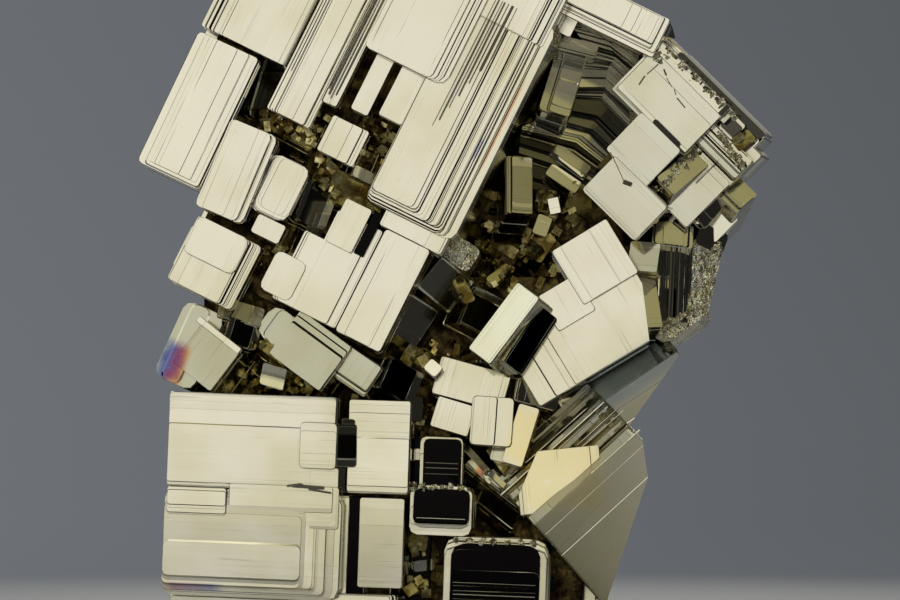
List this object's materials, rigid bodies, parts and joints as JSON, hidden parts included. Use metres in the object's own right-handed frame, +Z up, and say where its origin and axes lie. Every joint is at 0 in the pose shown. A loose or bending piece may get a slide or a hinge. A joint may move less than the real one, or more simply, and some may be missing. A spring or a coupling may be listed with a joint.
{
  "type": "pyrite crystal cluster",
  "caption": "Free-standing cluster of intergrown, stepped pyrite cubes with flat mirror faces, a deep recess between them and a flat broken base.",
  "frame": {"origin": "middle of the bounding box in X and Y, at the flat base", "axes": "+Z up from the base, -Y the front that the large mirror faces look along, +X to the right of that front"},
  "size_m": [0.0645, 0.033, 0.0742],
  "materials": {
    "pyrite": "metallic brass-yellow, mirror-smooth striated crystal faces"
  },
  "bodies": {
    "root": {"pyrite_cluster": "pyrite"}
  },
  "joints": []
}
